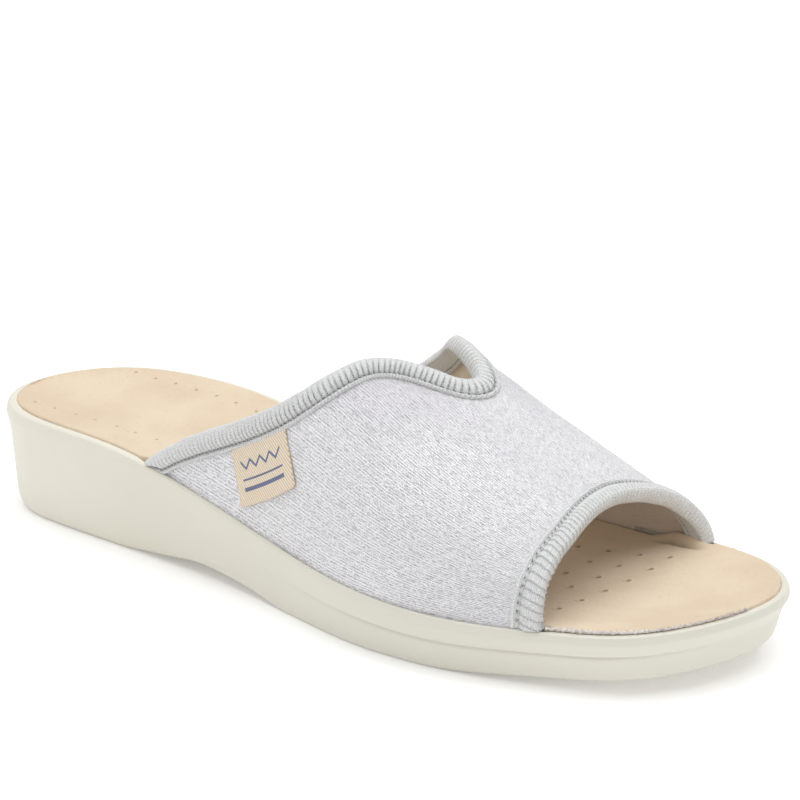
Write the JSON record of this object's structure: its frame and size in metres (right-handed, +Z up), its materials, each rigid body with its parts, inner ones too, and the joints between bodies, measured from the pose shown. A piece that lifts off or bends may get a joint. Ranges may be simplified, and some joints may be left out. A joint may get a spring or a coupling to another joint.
{
  "type": "mule sandal",
  "caption": "Right-foot open-toe mule sandal with a moulded low wedge sole, a bedded insole and a hollow cloth vamp bound with ribbed tape at collar and toe.",
  "frame": {"origin": "middle of the sole's plan, on the plane it stands on", "axes": "+X from heel to toe, +Y to the inner (big-toe) side of the foot, +Z up"},
  "size_m": [0.2522, 0.0876, 0.0698],
  "materials": {
    "sole": "moulded foam with a satin skin, cream",
    "insole": "matt synthetic suede, tan",
    "upper": "crepe weave, pale silver grey",
    "binding": "ribbed tape, pale grey",
    "label": "twill tape, tan"
  },
  "bodies": {
    "root": {"sole": "sole", "insole": "insole", "upper": "upper", "collar_binding": "binding", "toe_binding": "binding", "label": "label"}
  },
  "joints": []
}
